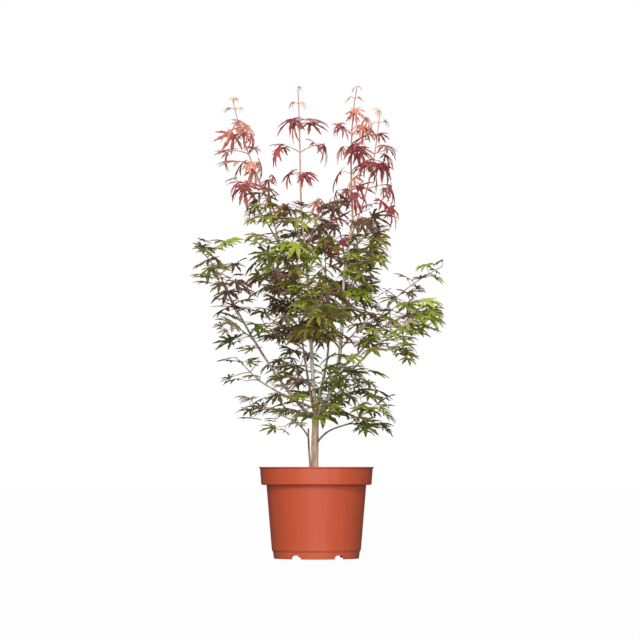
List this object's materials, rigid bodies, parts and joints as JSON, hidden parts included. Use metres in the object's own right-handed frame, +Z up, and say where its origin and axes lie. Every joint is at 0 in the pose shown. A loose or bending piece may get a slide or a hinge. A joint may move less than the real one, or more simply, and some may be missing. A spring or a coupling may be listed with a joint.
{
  "type": "potted japanese maple",
  "caption": "Young Japanese maple with a short forked trunk, slender boughs and layered palmate foliage, growing in a round plastic nursery pot of compost.",
  "frame": {"origin": "on the pot's axis, on the surface that its foot ring stands on", "axes": "+Z up along the pot's axis, -Y towards the front, the side that the plant is mainly seen from, +X to the right as seen from there"},
  "size_m": [0.4251, 0.3596, 0.7832],
  "materials": {
    "pot_plastic": "satin moulded terracotta-coloured plastic",
    "compost": "crumbly damp compost",
    "bark": "thin smooth bark with fine streaks",
    "leaves_green": "thin matte leaves",
    "leaves_bronze": "thin matte leaves",
    "leaves_red": "thin matte leaves"
  },
  "bodies": {
    "root": {"pot": "pot_plastic", "soil": "compost", "trunk": "bark", "leader_centre": "bark", "leader_right": "bark", "leader_left": "bark", "bough_left_long": "bark", "bough_left_low": "bark", "bough_right_spread": "bark", "bough_right_lower": "bark", "bough_right_low": "bark", "bough_centre": "bark", "bough_front": "bark", "bough_back": "bark", "sprout": "bark", "foliage_left_bottom": "leaves_green", "foliage_low_left": "leaves_green", "foliage_left_low": "leaves_green", "foliage_left_ring": "leaves_green", "foliage_left_under": "leaves_green", "foliage_left_inner": "leaves_green", "foliage_left_arm": "leaves_green", "foliage_left_tip": "leaves_green", "foliage_mid_left": "leaves_green", "foliage_back_left": "leaves_green", "foliage_upper_left": "leaves_bronze", "foliage_left_top": "leaves_red", "foliage_centre_top": "leaves_red", "foliage_right_top": "leaves_red", "foliage_right_outer": "leaves_red", "foliage_upper_right": "leaves_green", "foliage_upper_centre": "leaves_bronze", "foliage_upper_front": "leaves_bronze", "foliage_upper_back": "leaves_bronze", "foliage_mid_right": "leaves_green", "foliage_back_right": "leaves_green", "foliage_centre": "leaves_green", "foliage_centre_left": "leaves_bronze", "foliage_front_arm": "leaves_green", "foliage_back_arm": "leaves_green", "foliage_right_inner": "leaves_green", "foliage_right_arm": "leaves_green", "foliage_right_tip": "leaves_green", "foliage_right_lower": "leaves_green", "foliage_right_low": "leaves_green", "foliage_right_bottom": "leaves_green", "foliage_front_mid": "leaves_green", "foliage_front_low": "leaves_green", "foliage_back_mid": "leaves_green", "foliage_back_low": "leaves_green"}
  },
  "joints": []
}
